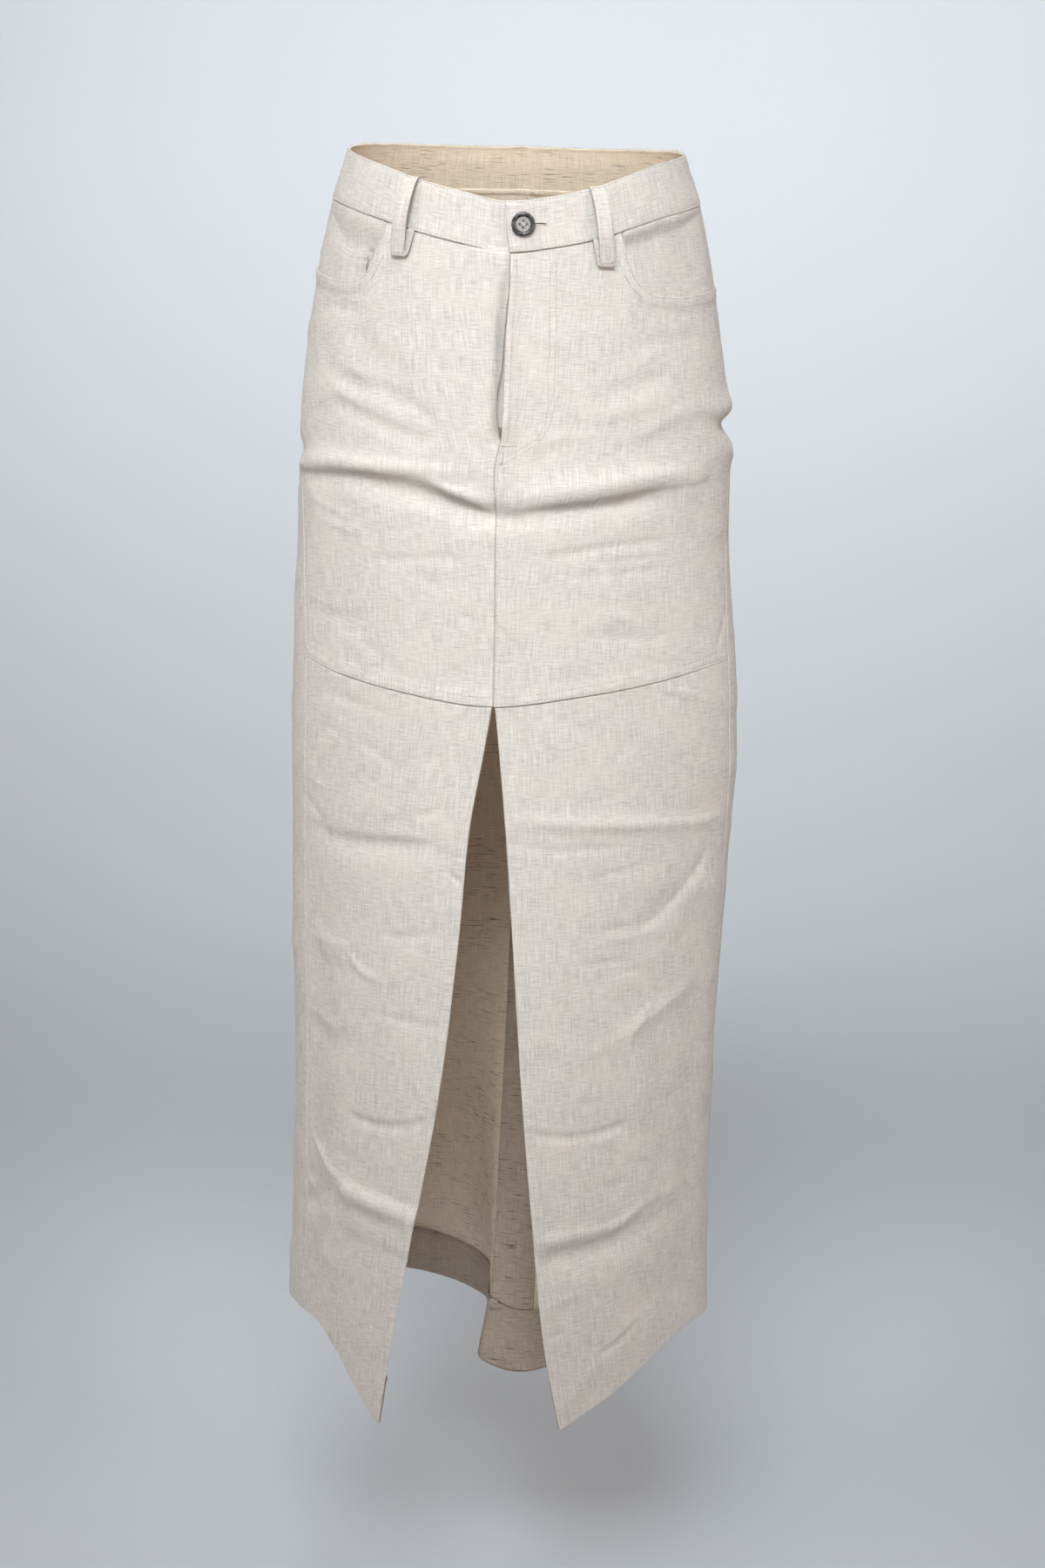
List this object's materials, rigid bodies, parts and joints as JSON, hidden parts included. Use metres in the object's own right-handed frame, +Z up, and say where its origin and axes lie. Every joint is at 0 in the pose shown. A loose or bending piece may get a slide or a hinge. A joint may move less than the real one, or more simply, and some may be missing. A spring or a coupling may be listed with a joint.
{
  "type": "maxi skirt",
  "caption": "Straight jeans-cut maxi skirt in slubby linen, with a front slit, scooped pockets, a buttoned fly waistband and belt loops.",
  "frame": {"origin": "middle of the waist opening, level with the button's upper edge", "axes": "-Y is the wearer's front, +X the wearer's left, +Z up"},
  "size_m": [0.4034, 0.3056, 1.1392],
  "materials": {
    "linen": "matte slubby plain weave in oatmeal",
    "linen_inside": "the wrong side of the same linen, in shade",
    "button": "polished horn-like plastic, dark rim and pearly middle"
  },
  "bodies": {
    "root": {"waistband": "linen", "front_upper_right": "linen", "front_upper_left": "linen", "front_lower_right": "linen", "front_lower_left": "linen", "back_right": "linen", "back_left": "linen", "belt_loop_front_right": "linen", "belt_loop_front_left": "linen", "belt_loop_side_right": "linen", "belt_loop_side_left": "linen", "belt_loop_back": "linen", "pocket_facing_right": "linen_inside", "pocket_facing_left": "linen_inside", "coin_pocket": "linen_inside", "fly_underlap": "linen_inside", "hem_front_right": "linen_inside", "hem_front_left": "linen_inside", "hem_back_right": "linen_inside", "hem_back_left": "linen_inside", "button": "button"}
  },
  "joints": []
}
